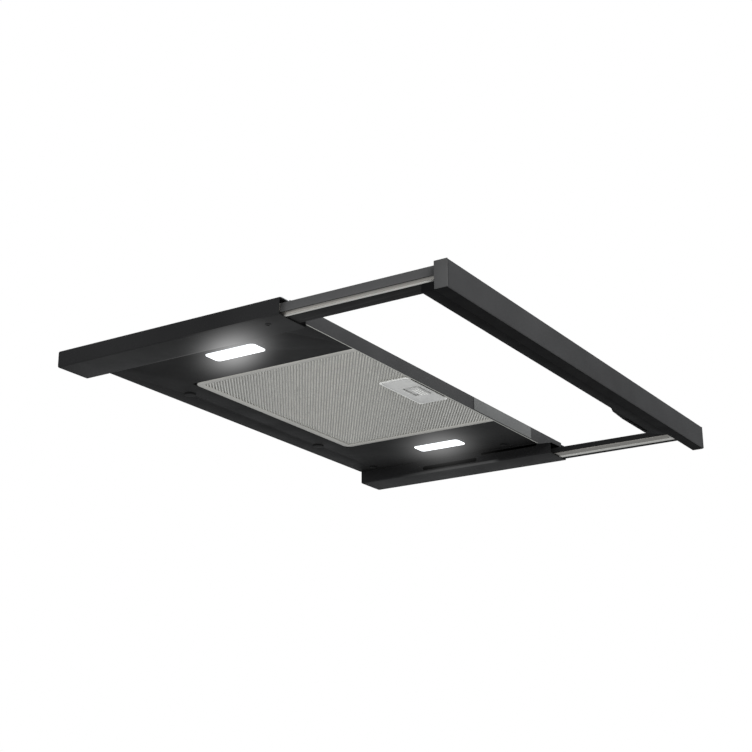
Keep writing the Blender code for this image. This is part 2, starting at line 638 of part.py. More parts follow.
def main():
    global parts, cutters
    clear_scene()
    parts = make_collection("under_cabinet_range_hood")
    cutters = make_collection("cutters")
    build_pan()
    build_pan_fixings()
    build_fascia()
    build_plenum()
    build_scroll()
    build_fan()
    build_exhaust()
    build_electrics()
    build_filter()
    for side, label in ((-1, "left"), (1, "right")):
        build_wing(side, label)
        build_lamp(side, label)
        build_slides(side, label)
    build_visor()


main()
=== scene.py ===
"""Looks of the slim pull-out hood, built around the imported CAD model. Lengths are in metres."""

import json
import math

import bmesh
import bpy
from mathutils import Matrix, Vector


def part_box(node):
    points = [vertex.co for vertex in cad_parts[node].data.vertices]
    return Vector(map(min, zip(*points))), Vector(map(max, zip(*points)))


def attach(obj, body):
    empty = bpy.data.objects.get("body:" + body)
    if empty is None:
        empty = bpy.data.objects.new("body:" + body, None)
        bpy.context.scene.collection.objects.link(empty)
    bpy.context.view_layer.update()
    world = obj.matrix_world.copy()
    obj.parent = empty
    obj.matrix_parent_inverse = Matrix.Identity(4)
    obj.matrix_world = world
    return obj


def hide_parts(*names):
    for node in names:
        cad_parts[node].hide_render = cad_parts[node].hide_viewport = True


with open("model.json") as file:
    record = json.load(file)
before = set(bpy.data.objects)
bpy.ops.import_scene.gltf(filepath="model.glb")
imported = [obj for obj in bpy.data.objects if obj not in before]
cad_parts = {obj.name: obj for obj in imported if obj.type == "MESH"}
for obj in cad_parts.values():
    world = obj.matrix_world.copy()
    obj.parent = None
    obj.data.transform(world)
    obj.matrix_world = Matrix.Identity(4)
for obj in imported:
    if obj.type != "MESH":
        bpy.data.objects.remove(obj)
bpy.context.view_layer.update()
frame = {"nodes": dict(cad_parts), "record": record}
MM = 0.001
SUNK = 0.1 * MM  # how far an added part sinks into the face it stands on
RIDGE_PITCH = 3.0 * MM  # crest to crest of the filter's ribs
RIDGE_ANGLE = math.radians(35.2)  # how far the front layer's ribs turn from the X axis

# -------- camera, light and stage

CAMERA_PLACE = (-1.2921, -0.7360, -0.4906)
CAMERA_YAW = math.radians(57.70)
CAMERA_PITCH = math.radians(18.56)
CAMERA_ROLL = math.radians(-0.32)
CAMERA_LENS = 70.34
FLOOR_Z = -0.95
FLOOR_HALF_WIDTH = 6.0
FLOOR_TONES = ((0.78, 0.78, 0.77), (0.82, 0.82, 0.81))
STUDIO_LIGHTS = (  # name, place, target, width and power
    ("key", (-1.8, -2.2, 0.5), (0.0, 0.0, 0.0), 1.6, 62.0),
    ("side", (-2.6, 0.6, 0.1), (0.0, 0.1, 0.0), 1.4, 16.0),
    ("top", (0.6, 0.4, 2.2), (0.0, 0.0, 0.0), 1.8, 30.0),
)


def make_camera():
    forward = Vector((math.sin(CAMERA_YAW) * math.cos(CAMERA_PITCH),
                      math.cos(CAMERA_YAW) * math.cos(CAMERA_PITCH), math.sin(CAMERA_PITCH)))
    level = Vector((math.cos(CAMERA_YAW), -math.sin(CAMERA_YAW), 0.0))
    upright = level.cross(forward)
    right = math.cos(CAMERA_ROLL) * level + math.sin(CAMERA_ROLL) * upright
    up = math.cos(CAMERA_ROLL) * upright - math.sin(CAMERA_ROLL) * level
    data = bpy.data.cameras.new("camera")
    data.sensor_width = 36.0
    data.lens = CAMERA_LENS
    data.clip_end = 50.0
    camera = bpy.data.objects.new("camera", data)
    rotation = Matrix((right, up, -forward)).transposed().to_4x4()
    camera.matrix_world = Matrix.Translation(CAMERA_PLACE) @ rotation
    bpy.context.scene.collection.objects.link(camera)
    bpy.context.scene.camera = camera


def area_light(name, place, target, width, power):
    data = bpy.data.lights.new(name, "AREA")
    data.shape = "DISK"
    data.size = width
    data.energy = power
    light = bpy.data.objects.new(name, data)
    light.location = place
    light.rotation_euler = (Vector(target) - Vector(place)).to_track_quat("-Z", "Y").to_euler()
    bpy.context.scene.collection.objects.link(light)


def make_world():
    """White where the camera looks past the object, and a dimmer pale grey as the light it gives."""
    world = bpy.data.worlds.new("studio")
    world.use_nodes = True
    bpy.context.scene.world = world
    nodes, links = world.node_tree.nodes, world.node_tree.links
    nodes.clear()
    output = nodes.new("ShaderNodeOutputWorld")
    path = nodes.new("ShaderNodeLightPath")
    mix = nodes.new("ShaderNodeMixShader")
    links.new(path.outputs["Is Camera Ray"], mix.inputs["Fac"])
    for socket, colour, strength in ((1, (0.95, 0.97, 1.0, 1.0), 0.55), (2, (1.0, 1.0, 1.0, 1.0), 1.0)):
        background = nodes.new("ShaderNodeBackground")
        background.inputs["Color"].default_value = colour
        background.inputs["Strength"].default_value = strength
        links.new(background.outputs[0], mix.inputs[socket])
    links.new(mix.outputs[0], output.inputs["Surface"])


def make_stage():
    make_world()
    bm = bmesh.new()
    bmesh.ops.create_grid(bm, x_segments=8, y_segments=8, size=FLOOR_HALF_WIDTH)
    floor = add_mesh("studio_floor", bm)
    floor.location = (0.0, 0.0, FLOOR_Z)
    material, tree, shader = new_material("floor_paper", FLOOR_TONES[0], 0.9)
    mottled_colour(tree, shader, *FLOOR_TONES, 3.0)
    floor.data.materials.append(material)
    for light in STUDIO_LIGHTS:
        area_light(*light)


# -------- materials

def new_material(name, colour, roughness, metallic=0.0, specular=0.5):
    """A Principled material with its even values set on the shader itself."""
    material = bpy.data.materials.new(name)
    material.use_nodes = True
    tree = material.node_tree
    shader = tree.nodes["Principled BSDF"]
    shader.inputs["Base Color"].default_value = (*colour, 1.0)
    shader.inputs["Roughness"].default_value = roughness
    shader.inputs["Metallic"].default_value = metallic
    shader.inputs["Specular IOR Level"].default_value = specular
    return material, tree, shader


def object_coordinates(tree, stretch=(1.0, 1.0, 1.0)):
    coordinates = tree.nodes.new("ShaderNodeTexCoord")
    mapping = tree.nodes.new("ShaderNodeMapping")
    mapping.inputs["Scale"].default_value = stretch
    tree.links.new(coordinates.outputs["Object"], mapping.inputs["Vector"])
    return mapping.outputs["Vector"]


def components(tree, kind):
    """The X, Y and Z of one sort of texture coordinate."""
    coordinates = tree.nodes.new("ShaderNodeTexCoord")
    split = tree.nodes.new("ShaderNodeSeparateXYZ")
    tree.links.new(coordinates.outputs[kind], split.inputs[0])
    return split.outputs


def noise(tree, scale, stretch=(1.0, 1.0, 1.0), detail=3.0):
    node = tree.nodes.new("ShaderNodeTexNoise")
    node.inputs["Scale"].default_value = scale
    node.inputs["Detail"].default_value = detail
    tree.links.new(object_coordinates(tree, stretch), node.inputs["Vector"])
    return node.outputs["Fac"]


def remap(tree, value, low, high, from_low=0.3, from_high=0.7):
    node = tree.nodes.new("ShaderNodeMapRange")
    node.inputs["From Min"].default_value = from_low
    node.inputs["From Max"].default_value = from_high
    node.inputs["To Min"].default_value = low
    node.inputs["To Max"].default_value = high
    tree.links.new(value, node.inputs["Value"])
    return node.outputs["Result"]


def math_node(tree, operation, first, second=None):
    node = tree.nodes.new("ShaderNodeMath")
    node.operation = operation
    for socket, value in zip(node.inputs, (first, second)):
        if value is None:
            continue
        if isinstance(value, (int, float)):
            socket.default_value = value
        else:
            tree.links.new(value, socket)
    return node.outputs["Value"]


def mix_colour(tree, factor, first, second):
    node = tree.nodes.new("ShaderNodeMix")
    node.data_type = "RGBA"
    tree.links.new(factor, node.inputs["Factor"])
    for name, value in (("A_Color", first), ("B_Color", second)):
        socket = next(s for s in node.inputs if s.identifier == name)
        if isinstance(value, tuple):
            socket.default_value = (*value, 1.0)
        else:
            tree.links.new(value, socket)
    return next(s for s in node.outputs if s.identifier == "Result_Color")


def mottled_colour(tree, shader, first, second, scale, stretch=(1.0, 1.0, 1.0)):
    factor = remap(tree, noise(tree, scale, stretch), 0.0, 1.0)
    tree.links.new(mix_colour(tree, factor, first, second), shader.inputs["Base Color"])


def uneven_roughness(tree, shader, low, high, scale, stretch=(1.0, 1.0, 1.0)):
    tree.links.new(remap(tree, noise(tree, scale, stretch), low, high), shader.inputs["Roughness"])


def bump(tree, shader, height, distance, strength):
    """Add one more layer of relief to the shader's normal."""
    node = tree.nodes.new("ShaderNodeBump")
    node.inputs["Distance"].default_value = distance
    node.inputs["Strength"].default_value = strength
    tree.links.new(height, node.inputs["Height"])
    earlier = shader.inputs["Normal"].links
    if earlier:
        tree.links.new(earlier[0].from_socket, node.inputs["Normal"])
    tree.links.new(node.outputs["Normal"], shader.inputs["Normal"])


def powder_coat(name, colour, roughness, specular):
    """Baked paint: a faint orange peel, small pinheads and a slow change of tone and gloss."""
    lighter = tuple(1.35 * c + 0.002 for c in colour)
    material, tree, shader = new_material(name, colour, roughness, 0.0, specular)
    mottled_colour(tree, shader, colour, lighter, 9.0)
    uneven_roughness(tree, shader, roughness - 0.05, roughness + 0.08, 24.0)
    bump(tree, shader, noise(tree, 420.0), 0.00012, 0.35)
    bump(tree, shader, noise(tree, 2200.0, detail=1.0), 0.00003, 0.4)
    return material


# Painted lamp glow: an emission on the sheet round each lens, not light cast by the lamps.
GLOWS = {"left": (0.37, 0.0305), "right": (0.20, 0.047)}  # strength, and reach across the lamp
GLOW_LENGTH = 0.042  # reach along the lamp
GLOW_SHEAR = 0.62  # how far the glow drifts across for each unit along
GLOW_LEAN = (2.52, 1.59)  # how far it drifts across and along for each unit of height
PAINTED_BEND_GLEAM = 0.045  # strength of the painted highlight streak along a wing's lower bend
FACING_LIMIT = 0.5  # cosine past which a face counts as looking one way


def painted_lamp_glow(material, sides):
    """Painted lamp light: an emission on the sheet round the lamps, which fades softly with the distance from
    each lens.
    """
    tree = material.node_tree
    shader = tree.nodes["Principled BSDF"]
    place = components(tree, "Object")
    lights = []
    for label, (strength, reach) in GLOWS.items():
        low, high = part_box(f"lamp_lens_{label}")
        middle = (low + high) / 2
        height = math_node(tree, "SUBTRACT", place["Z"], low.z)
        offsets = []
        for axis, lean in zip("XY", GLOW_LEAN):
            offset = math_node(tree, "SUBTRACT", place[axis], getattr(middle, axis.lower()))
            offsets.append(math_node(tree, "SUBTRACT", offset, math_node(tree, "MULTIPLY", height, lean)))
        across, along = offsets
        across = math_node(tree, "SUBTRACT", across, math_node(tree, "MULTIPLY", along, GLOW_SHEAR))
        squares = []
        for offset, size in ((across, reach), (along, GLOW_LENGTH)):
            scaled = math_node(tree, "DIVIDE", offset, size)
            squares.append(math_node(tree, "MULTIPLY", scaled, scaled))
        fall = math_node(tree, "MULTIPLY", math_node(tree, "ADD", *squares), -1.0)
        lights.append(math_node(tree, "MULTIPLY", math_node(tree, "POWER", math.e, fall), strength))
    light = math_node(tree, "ADD", *lights)
    light = math_node(tree, "MULTIPLY", light, facing(tree, sides))
    if sides == "inward":
        light = math_node(tree, "ADD", light, painted_bend_gleam(tree, place))
    combined = tree.nodes.new("ShaderNodeCombineColor")
    for channel in combined.inputs:
        tree.links.new(light, channel)
    tree.links.new(combined.outputs[0], shader.inputs["Emission Color"])
    shader.inputs["Emission Strength"].default_value = 1.0
    return material


def painted_bend_gleam(tree, place):
    """A painted highlight: a soft streak on the lower inner bend of a wing beside the lamps."""
    low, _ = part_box("wing_right")
    lens_low, lens_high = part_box("lamp_lens_right")
    across = math_node(tree, "ABSOLUTE", place["X"])
    upward = (low.z + 1.6 * MM, low.z + 3.0 * MM)
    outward = (low.x + 1.2 * MM, low.x + 3.5 * MM)
    before = (lens_low.y - 24 * MM, lens_low.y - 14 * MM)
    behind = (lens_high.y, lens_high.y + 60 * MM)
    gleam = remap(tree, place["Z"], PAINTED_BEND_GLEAM, 0.0, *upward)
    for fade in (remap(tree, across, 1.0, 0.0, *outward), remap(tree, place["Y"], 0.0, 1.0, *before),
                 remap(tree, place["Y"], 1.0, 0.0, *behind)):
        gleam = math_node(tree, "MULTIPLY", gleam, fade)
    return gleam


def facing(tree, sides):
    """One on faces that look down, and with "inward" also on those that look towards the middle."""
    down = math_node(tree, "LESS_THAN", components(tree, "Normal")["Z"], -FACING_LIMIT)
    if sides == "down":
        return down
    return math_node(tree, "MAXIMUM", down, math_node(tree, "LESS_THAN", outwardness(tree), -FACING_LIMIT))


def outwardness(tree):
    """How far a face looks away from the middle of the hood, from -1 to 1."""
    side = math_node(tree, "SIGN", components(tree, "Object")["X"])
    return math_node(tree, "MULTIPLY", components(tree, "Normal")["X"], side)


def painted_side_shade(material, darker):
    """Keep the outer sides' colour and paint every other face darker, as painted shade."""
    tree = material.node_tree
    shader = tree.nodes["Principled BSDF"]
    outer = math_node(tree, "GREATER_THAN", outwardness(tree), FACING_LIMIT)
    paint = shader.inputs["Base Color"].links[0].from_socket
    tree.links.new(mix_colour(tree, outer, darker, paint), shader.inputs["Base Color"])
    return material


def moulded(name, colour, roughness, specular=0.4, grain=2600.0):
    """Injection-moulded plastic with a spark-eroded grain."""
    material, tree, shader = new_material(name, colour, roughness, 0.0, specular)
    mottled_colour(tree, shader, colour, tuple(1.15 * c + 0.001 for c in colour), 30.0)
    uneven_roughness(tree, shader, roughness - 0.04, roughness + 0.06, 60.0)
    bump(tree, shader, noise(tree, grain, detail=2.0), 0.00003, 0.6)
    return material


def zinc_sheet(name):
    """Galvanised sheet: crystals of slightly different grey, each with its own gloss."""
    material, tree, shader = new_material(name, (0.55, 0.56, 0.57), 0.4, 1.0)
    spangle = tree.nodes.new("ShaderNodeTexVoronoi")
    spangle.inputs["Scale"].default_value = 95.0
    tree.links.new(object_coordinates(tree), spangle.inputs["Vector"])
    crystal = tree.nodes.new("ShaderNodeSeparateColor")
    tree.links.new(spangle.outputs["Color"], crystal.inputs[0])
    colour = mix_colour(tree, crystal.outputs[0], (0.42, 0.43, 0.44), (0.60, 0.61, 0.62))
    tree.links.new(colour, shader.inputs["Base Color"])
    tree.links.new(remap(tree, crystal.outputs[1], 0.32, 0.5, 0.0, 1.0), shader.inputs["Roughness"])
    bump(tree, shader, noise(tree, 60.0), 0.0002, 0.15)
    return material


def rolled_steel(name, colour, roughness, stretch=(600.0, 12.0, 600.0)):
    """Steel with fine lines along the way it was rolled or drawn."""
    material, tree, shader = new_material(name, colour, roughness, 1.0)
    mottled_colour(tree, shader, tuple(0.8 * c for c in colour), colour, 1.0, stretch)
    uneven_roughness(tree, shader, roughness - 0.08, roughness + 0.1, 1.0, stretch)
    bump(tree, shader, noise(tree, 1.0, stretch), 0.00003, 0.5)
    return material


def satin_aluminium(name, colour, roughness):
    material, tree, shader = new_material(name, colour, roughness, 1.0)
    mottled_colour(tree, shader, tuple(0.85 * c for c in colour), colour, 18.0)
    uneven_roughness(tree, shader, roughness - 0.06, roughness + 0.08, 180.0)
    bump(tree, shader, noise(tree, 900.0), 0.00003, 0.5)
    return material


def ribbed_aluminium(name, ridge, valley, angle, roughness=0.42):
    """Expanded aluminium sheet: painted shade in the valleys between the ribs, and a fine web of diamond
    holes painted in the same dark tone.
    """
    material, tree, shader = new_material(name, ridge, roughness, 1.0)
    coordinates = tree.nodes.new("ShaderNodeTexCoord")
    mapping = tree.nodes.new("ShaderNodeMapping")
    mapping.inputs["Rotation"].default_value = (0.0, 0.0, -angle)
    tree.links.new(coordinates.outputs["Object"], mapping.inputs["Vector"])
    split = tree.nodes.new("ShaderNodeSeparateXYZ")
    tree.links.new(mapping.outputs["Vector"], split.inputs[0])
    low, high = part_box("filter_mesh")
    centre = Matrix.Rotation(-angle, 3, "Z") @ ((low + high) / 2)
    # painted shade in the ribs' valleys, in step with the ribbed sheet's shape
    phase = math_node(tree, "SUBTRACT", split.outputs["Y"], centre.y - (high - low).length / 2)
    wave = math_node(tree, "COSINE", math_node(tree, "MULTIPLY", phase, 2 * math.pi / RIDGE_PITCH))
    shadow = remap(tree, wave, 0.0, 1.0, -0.2, 0.9)
    web = tree.nodes.new("ShaderNodeTexVoronoi")
    web.feature = "DISTANCE_TO_EDGE"
    web.inputs["Scale"].default_value = 420.0
    tree.links.new(object_coordinates(tree, (1.0, 0.6, 1.0)), web.inputs["Vector"])
    hole = remap(tree, web.outputs["Distance"], 0.0, 0.55, 0.12, 0.34)
    dark = math_node(tree, "MAXIMUM", shadow, hole)
    tree.links.new(mix_colour(tree, dark, ridge, valley), shader.inputs["Base Color"])
    uneven_roughness(tree, shader, roughness - 0.06, roughness + 0.1, 180.0)
    bump(tree, shader, web.outputs["Distance"], 0.00012, 0.5)
    return material


def lit_lens(name):
    """Opal lens with the lamp on behind it; fine prisms run along its length."""
    material, tree, shader = new_material(name, (0.95, 0.96, 0.98), 0.3)
    prisms = tree.nodes.new("ShaderNodeTexWave")
    prisms.bands_direction = "X"
    prisms.inputs["Scale"].default_value = 160.0
    tree.links.new(object_coordinates(tree), prisms.inputs["Vector"])
    bump(tree, shader, prisms.outputs["Fac"], 0.0002, 0.4)
    colour = mix_colour(tree, prisms.outputs["Fac"], (0.86, 0.93, 1.0), (1.0, 1.0, 1.0))
    tree.links.new(colour, shader.inputs["Emission Color"])
    shader.inputs["Emission Strength"].default_value = 1.6
    return material


def circuit_board(name):
    material, tree, shader = new_material(name, (0.03, 0.12, 0.06), 0.35)
    tracks = tree.nodes.new("ShaderNodeTexBrick")
    tracks.inputs["Scale"].default_value = 260.0
    tracks.inputs["Color1"].default_value = (0.02, 0.11, 0.05, 1.0)
    tracks.inputs["Color2"].default_value = (0.03, 0.14, 0.07, 1.0)
    tracks.inputs["Mortar"].default_value = (0.35, 0.28, 0.10, 1.0)
    tracks.inputs["Mortar Size"].default_value = 0.03
    tree.links.new(object_coordinates(tree), tracks.inputs["Vector"])
    tree.links.new(tracks.outputs["Color"], shader.inputs["Base Color"])
    return material


def make_materials():
    return {
        # the body's and the pan's paint both carry the painted lamp glow
        "black_paint": painted_lamp_glow(powder_coat("body_powder_coat", (0.010, 0.010, 0.0103), 0.55, 0.07),
                                 "inward"),
        "pan_paint": painted_lamp_glow(powder_coat("pan_powder_coat", (0.009, 0.009, 0.0092), 0.6, 0.05), "down"),
        "bar_paint": powder_coat("bar_powder_coat", (0.0345, 0.0345, 0.035), 0.55, 0.07),
        # the arms' paint, with painted shade on every face but the outer sides
        "arm_paint": painted_side_shade(powder_coat("arm_powder_coat", (0.050, 0.050, 0.0505), 0.55, 0.05),
                              (0.010, 0.010, 0.0102)),
        "fascia_paint": powder_coat("fascia_powder_coat", (0.044, 0.044, 0.0445), 0.55, 0.08),
        "black_plastic": moulded("black_moulding", (0.010, 0.010, 0.0105), 0.5, 0.2),
        "dark_plastic": moulded("trim_moulding", (0.003, 0.003, 0.0032), 0.6, 0.025),
        "end_plastic": moulded("end_cap_moulding", (0.042, 0.042, 0.042), 0.55, 0.2),
        "galvanised": zinc_sheet("zinc_coated_sheet"),
        "slide_steel": rolled_steel("rolled_slide_steel", (0.62, 0.62, 0.60), 0.34),
        "rail_steel": rolled_steel("drawn_rail_steel", (0.25, 0.24, 0.222), 0.42),
        # a brighter copy of the rail steel that paints the highlight on the rails' silver lip
        "lip_highlight_steel": rolled_steel("painted_lip_highlight_steel", (0.63, 0.62, 0.59), 0.40),
        # a bright steel that paints the highlight along the fascia's lower bend
        "edge_highlight_steel": rolled_steel("painted_edge_highlight", (0.62, 0.62, 0.58), 0.45, (12.0, 600.0, 600.0)),
        "aluminium": satin_aluminium("filter_frame_aluminium", (0.52, 0.51, 0.48), 0.38),
        "mesh_aluminium": ribbed_aluminium("filter_mesh_aluminium", (0.74, 0.735, 0.70),
                                           (0.30, 0.295, 0.28), RIDGE_ANGLE),
        "back_mesh_aluminium": ribbed_aluminium("filter_back_aluminium", (0.66, 0.66, 0.64),
                                                (0.26, 0.26, 0.25), -RIDGE_ANGLE),
        "grey_plastic": moulded("latch_moulding", (0.50, 0.50, 0.49), 0.45),
        "tab_plastic": moulded("latch_tab_moulding", (0.80, 0.80, 0.78), 0.35),
        "blank_grey": moulded("blank_plate_moulding", (0.12, 0.122, 0.12), 0.5, 0.25),
        "white_lens": lit_lens("lit_opal_lens"),
        "white_plastic": moulded("off_white_moulding", (0.68, 0.68, 0.65), 0.45),
        "motor_steel": rolled_steel("motor_can_steel", (0.34, 0.34, 0.35), 0.38, (25.0, 25.0, 900.0)),
        "circuit_green": circuit_board("coated_circuit_board"),
        "label_blue": moulded("capacitor_sleeve", (0.07, 0.13, 0.30), 0.35, 0.5, 900.0),
    }


# -------- mesh helpers

AXES = {  # turns that point a shape's own +Z each way
    "Z": Matrix(), "-Z": Matrix.Rotation(math.pi, 4, "X"),
    "Y": Matrix.Rotation(-math.pi / 2, 4, "X"), "-Y": Matrix.Rotation(math.pi / 2, 4, "X"),
    "X": Matrix.Rotation(math.pi / 2, 4, "Y"), "-X": Matrix.Rotation(-math.pi / 2, 4, "Y"),
}


def add_mesh(name, bm):
    mesh = bpy.data.meshes.new(name)
    bm.to_mesh(mesh)
    bm.free()
    obj = bpy.data.objects.new(name, mesh)
    bpy.context.scene.collection.objects.link(obj)
    return obj


def add_solid(name, bm):
    """Add a mesh with all its faces turned outwards."""
    bmesh.ops.recalc_face_normals(bm, faces=bm.faces)
    return add_mesh(name, bm)


def shade(obj, angle=32.0):
    obj.data.shade_smooth()
    obj.data.set_sharp_from_angle(angle=math.radians(angle))


def finish_piece(obj, body, finish, replaced=()):
    obj.data.materials.clear()
    obj.data.materials.append(MATERIALS[finish])
    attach(obj, body)
    if replaced:
        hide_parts(*replaced)


def body_piece(obj, finish, replaced=()):
    """Finish a piece of the hood's fixed body whose looks are its slot's own."""
    finish_piece(obj, "hood_body", finish, replaced)


def bake(obj):
    """Apply an object's modifiers."""
    graph = bpy.context.evaluated_depsgraph_get()
    mesh = bpy.data.meshes.new_from_object(obj.evaluated_get(graph))
    obj.modifiers.clear()
    obj.data = mesh


def cut_with(obj, cutter_mesh):
    cutter = add_mesh("cutter", cutter_mesh)
    modifier = obj.modifiers.new("Cut", "BOOLEAN")
    modifier.object = cutter
    modifier.solver = "EXACT"
    bake(obj)
    bpy.data.objects.remove(cutter)


def round_edges(obj, width):
    modifier = obj.modifiers.new("Bevel", "BEVEL")
    modifier.width = width
    modifier.segments = 2
    modifier.limit_method = "ANGLE"
    modifier.angle_limit = math.radians(35.0)
    modifier.harden_normals = True
    obj.data.shade_smooth()
    bake(obj)


def add_box(bm, low, high, matrix=Matrix()):
    centre = [(a + b) / 2 for a, b in zip(low, high)]
    size = [b - a for a, b in zip(low, high)]
    place = Matrix.Translation(centre) @ Matrix.Diagonal((*size, 1.0))
    return bmesh.ops.create_cube(bm, size=1.0, matrix=matrix @ place)["verts"]


def add_slot(bm, low, high, axis, radius):
    """Add a box whose four edges along one axis are round."""
    verts = set(add_box(bm, low, high))
    along = "XYZ".index(axis)
    chosen = [e for e in bm.edges if verts.issuperset(e.verts)
              and abs((e.verts[1].co - e.verts[0].co).normalized()[along]) > 0.9]
    bmesh.ops.bevel(bm, geom=chosen, offset=radius, segments=5, profile=0.5, affect="EDGES")


def block(name, boxes, edge, body, finish, replaced=()):
    """One piece made of boxes with rounded edges."""
    bm = bmesh.new()
    for low, high in boxes:
        add_box(bm, low, high)
    obj = add_mesh(name, bm)
    round_edges(obj, edge)
    finish_piece(obj, body, finish, replaced)


def body_block(name, boxes, edge, finish):
    block(name, boxes, edge, "hood_body", finish)


def sheet_box(name, low, high, open_sides, wall, radius):
    """A box of folded sheet with round bends, open on the sides given as outward vectors."""
    bm = bmesh.new()
    add_box(bm, low, high)
    bm.normal_update()
    gone = [f for f in bm.faces if any(f.normal.dot(Vector(side)) > 0.9 for side in open_sides)]
    bmesh.ops.delete(bm, geom=gone, context="FACES")
    bends = [e for e in bm.edges if not e.is_boundary]
    bmesh.ops.bevel(bm, geom=bends, offset=radius, segments=4, profile=0.5, affect="EDGES")
    obj = add_mesh(name, bm)
    thick = obj.modifiers.new("Solidify", "SOLIDIFY")
    thick.thickness = wall
    thick.offset = -1.0
    thick.use_even_offset = True
    bake(obj)
    shade(obj)
    return obj


def turn_into(bm, profile, place, steps, axis="Z", closed=False):
    """Turn a (radius, height) profile, which runs from the top down its outer side, about an axis."""
    rings = []
    for radius, height in profile:
        if radius == 0.0:
            rings.append([bm.verts.new((0.0, 0.0, height))])
            continue
        ring = []
        for i in range(steps):
            angle = 2 * math.pi * (i + 0.5) / steps
            ring.append(bm.verts.new((radius * math.cos(angle), radius * math.sin(angle), height)))
        rings.append(ring)
    for upper, lower in zip(rings, rings[1:] + (rings[:1] if closed else [])):
        for i in range(steps):
            j = (i + 1) % steps
            corners = dict.fromkeys((upper[i % len(upper)], lower[i % len(lower)],
                                     lower[j % len(lower)], upper[j % len(upper)]))
            if len(corners) > 2:
                bm.faces.new(list(corners))
    verts = [vert for ring in rings for vert in ring]
    bmesh.ops.transform(bm, matrix=Matrix.Translation(place) @ AXES[axis], verts=verts)


def spun(name, profile, place, steps, axis="Z", closed=False):
    bm = bmesh.new()
    turn_into(bm, profile, place, steps, axis, closed)
    obj = add_solid(name, bm)
    shade(obj)
    return obj


def millimetres(points):
    return [tuple(MM * v for v in point) for point in points]


def arc(centre, radius, start, end, steps):
    """Points on an arc, in degrees."""
    points = []
    for i in range(steps + 1):
        angle = math.radians(start + (end - start) * i / steps)
        points.append((centre[0] + radius * math.cos(angle), centre[1] + radius * math.sin(angle)))
    return points


def cut_crosses(obj, places, axis, outer, reach, width, depth):
    """Cut a cross recess into the head at each place; outer is the head's height along the axis."""
    for a, b in ((reach, width), (width, reach)):
        cutter = bmesh.new()
        for place in places:
            turn = Matrix.Translation(place) @ AXES[axis]
            add_box(cutter, (-a, -b, outer - depth), (a, b, outer + depth), turn)
        cut_with(obj, cutter)


def screw_heads(name, places, radius=3.4, height=1.9, axis="Z", finish="slide_steel"):
    """Pan-head screws with cross recesses, seated on the hood's body. Their size is in millimetres."""
    r, h = radius * MM, height * MM
    profile = [(0.0, h), (0.55 * r, h), (0.86 * r, 0.8 * h), (r, 0.42 * h), (r, -SUNK), (0.0, -SUNK)]
    bm = bmesh.new()
    for place in places:
        turn_into(bm, profile, place, 20, axis)
    obj = add_solid(name, bm)
    cut_crosses(obj, places, axis, h, 0.62 * r, 0.15 * r, 0.5 * h)
    shade(obj)
    body_piece(obj, finish)


def swept_ring(name, low, high, corner, profile):
    """Sweep a closed (inward, up) profile round a rectangle with round corners."""
    steps = 4
    outline = []
    for cx, cy, start in ((high[0] - corner, high[1] - corner, 0), (low[0] + corner, high[1] - corner, 90),
                          (low[0] + corner, low[1] + corner, 180), (high[0] - corner, low[1] + corner, 270)):
        for i in range(steps + 1):
            angle = math.radians(start + 90 * i / steps)
            outline.append(((cx, cy), (math.cos(angle), math.sin(angle))))
    bm = bmesh.new()
    rings = []
    for (cx, cy), (dx, dy) in outline:
        rings.append([bm.verts.new((cx + dx * (corner - inward), cy + dy * (corner - inward), up))
                      for inward, up in profile])
    for ring, following in zip(rings, rings[1:] + rings[:1]):
        for i in range(len(profile)):
            j = (i + 1) % len(profile)
            bm.faces.new((ring[i], ring[j], following[j], following[i]))
    bmesh.ops.remove_doubles(bm, verts=bm.verts, dist=1e-6)
    return add_solid(name, bm)


# -------- pieces that keep the CAD's shape

SLOT_OF = {entry["node"]: entry["material_slot"] for entry in frame["record"]["subparts"]}
BODY_OF = {node: body for body, members in frame["record"]["behaviour"]["bodies"].items() for node in members}


def both_sides(*stems):
    return [f"{stem}_{side}" for stem in stems for side in ("left", "right")]


EDGE_WIDTH = {node: width for width, nodes in (  # how far each piece has its edges rounded, in millimetres
    (0.1, ["switch_board"]),
    (0.15, ["impeller"]),
    (0.2, ["scroll_wall", "fan_motor", *both_sides("slide_middle", "slide_outer")]),
    (0.25, ["base_pan", "front_fascia", *both_sides("slide_rail")]),
    (0.3, ["fascia_blank_plate", "plenum", "blower_housing", "blower_cover", "terminal_cover",
           "terminal_strip", "motor_shaft", "damper_pin", *both_sides("bar_end_cap", "damper_flap")]),
    (0.4, ["lamp_driver", "bar_rear_panel", "control_box", "impeller_nut",
           *both_sides("lamp_housing", "lamp_lens")]),
    (0.5, ["terminal_box", "latch_housing", "latch_slider", *both_sides("arm")]),
) for node in nodes}
FINISH_OF = {node: finish for finish, nodes in (  # where a piece's looks are not its slot's own
    ("pan_paint", ["base_pan"]),
    ("fascia_paint", ["front_fascia"]),
    ("arm_paint", both_sides("arm")),
    ("dark_plastic", ["bar_rear_panel", "control_box"]),
    ("end_plastic", both_sides("bar_end_cap")),
    ("rail_steel", both_sides("slide_rail", "slide_middle", "slide_outer")),
) for node in nodes}


def refined(node, width):
    """The CAD node's own shape, cleaned of its triangles, with its edges broken as real ones are."""
    bm = bmesh.new()
    bm.from_mesh(frame["nodes"][node].data)
    bmesh.ops.remove_doubles(bm, verts=bm.verts, dist=2e-6)
    bmesh.ops.dissolve_limit(bm, angle_limit=math.radians(1.0), verts=bm.verts, edges=bm.edges)
    obj = add_solid(f"{node}_finished", bm)
    round_edges(obj, width * MM)
    finish_piece(obj, BODY_OF[node], FINISH_OF.get(node, SLOT_OF[node]), [node])


# -------- body and visor

